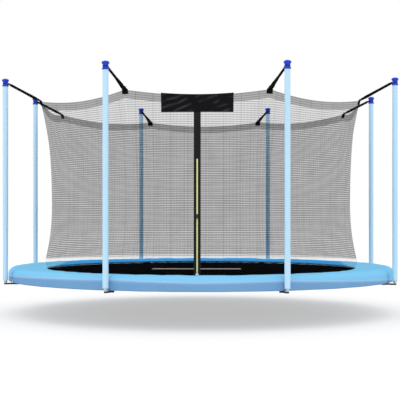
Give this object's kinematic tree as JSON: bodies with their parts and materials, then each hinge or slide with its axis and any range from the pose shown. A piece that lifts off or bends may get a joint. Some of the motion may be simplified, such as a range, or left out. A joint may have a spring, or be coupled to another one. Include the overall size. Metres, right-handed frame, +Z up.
{
  "type": "trampoline",
  "caption": "Round trampoline top with a padded rim, a sprung jump mat and an inner safety net on padded poles, with a zipped door and sockets for its legs.",
  "frame": {"origin": "on the ring's axis, in the plane of the leg sockets' lower rims", "axes": "+Z up along the ring's axis; the door faces -Y; +X is to the right when facing the door"},
  "size_m": [3.7398, 3.7398, 1.9011],
  "materials": {
    "galvanised_tube": "galvanised steel tube",
    "black_paint": "black powder coat",
    "zinc_wire": "zinc-plated spring wire",
    "zinc_bolt": "zinc-plated fastener",
    "blue_foam": "light-blue covered foam",
    "blue_plastic": "royal-blue moulded plastic",
    "pad_cloth": "sky-blue coated cloth over foam",
    "mat_cloth": "black woven mat cloth",
    "net_cloth": "black knitted net",
    "hem_cloth": "dense black hem band",
    "banner_cloth": "black cloth",
    "webbing": "black webbing",
    "zip_yellow": "pale-yellow zip",
    "zip_ivory": "ivory zip end",
    "zip_black": "black slider"
  },
  "bodies": {
    "frame": {"springs": "zinc_wire", "frame_tube_1": "galvanised_tube", "frame_tube_2": "galvanised_tube", "frame_tube_3": "galvanised_tube", "frame_tube_4": "galvanised_tube", "frame_tube_5": "galvanised_tube", "frame_tube_6": "galvanised_tube", "frame_tube_7": "galvanised_tube", "frame_tube_8": "galvanised_tube", "leg_socket_1": "black_paint", "leg_socket_2": "black_paint", "leg_socket_3": "black_paint", "leg_socket_4": "black_paint", "leg_socket_5": "black_paint", "leg_socket_6": "black_paint", "leg_socket_7": "black_paint", "leg_socket_8": "black_paint", "net_pole_1": "galvanised_tube", "net_pole_2": "galvanised_tube", "net_pole_3": "galvanised_tube", "net_pole_4": "galvanised_tube", "net_pole_5": "galvanised_tube", "net_pole_6": "galvanised_tube", "net_pole_7": "galvanised_tube", "net_pole_8": "galvanised_tube", "frame_pad_1": "pad_cloth", "frame_pad_2": "pad_cloth", "frame_pad_3": "pad_cloth", "frame_pad_4": "pad_cloth", "frame_pad_5": "pad_cloth", "frame_pad_6": "pad_cloth", "frame_pad_7": "pad_cloth", "frame_pad_8": "pad_cloth", "net_panel_1": "net_cloth", "net_panel_2": "net_cloth", "net_panel_3": "net_cloth", "net_panel_4": "net_cloth", "net_panel_5": "net_cloth", "net_panel_6": "net_cloth", "net_panel_7": "net_cloth", "net_panel_8": "net_cloth", "pole_sleeves": "blue_foam", "pole_caps": "blue_plastic", "net_hem": "hem_cloth", "net_skirt": "net_cloth", "banner": "banner_cloth", "door_strip": "webbing", "zip_chain": "zip_yellow", "zip_stop": "zip_ivory", "net_straps": "webbing", "corner_rings": "black_paint", "corner_tabs": "webbing", "pole_bolts": "zinc_bolt", "pole_nuts": "zinc_bolt", "socket_screws": "zinc_bolt"},
    "mat": {"jump_mat": "mat_cloth", "mat_rings_1": "zinc_wire", "mat_rings_2": "zinc_wire"},
    "slider": {"zip_slider": "zip_black"},
    "pull": {"zip_pull": "zip_black"}
  },
  "joints": [
    {"name": "mat_bounce", "type": "slide", "parent": "frame", "child": "mat", "axis": [0, 0, 1], "range_m": [-0.25, 0], "stiffness_N_per_m": 5500, "springref_m": 0.0126, "deforming": ["net_skirt"]},
    {"name": "zip_slide", "type": "slide", "parent": "frame", "child": "slider", "axis": [0, 0.029, 0.9996], "range_m": [-0.468, 0.467]},
    {"name": "zip_pull_swing", "type": "hinge", "parent": "slider", "child": "pull", "pos_m": [0, -1.53477, 0.63842], "axis": [-1, 0, 0], "range_deg": [0, 160]}
  ]
}
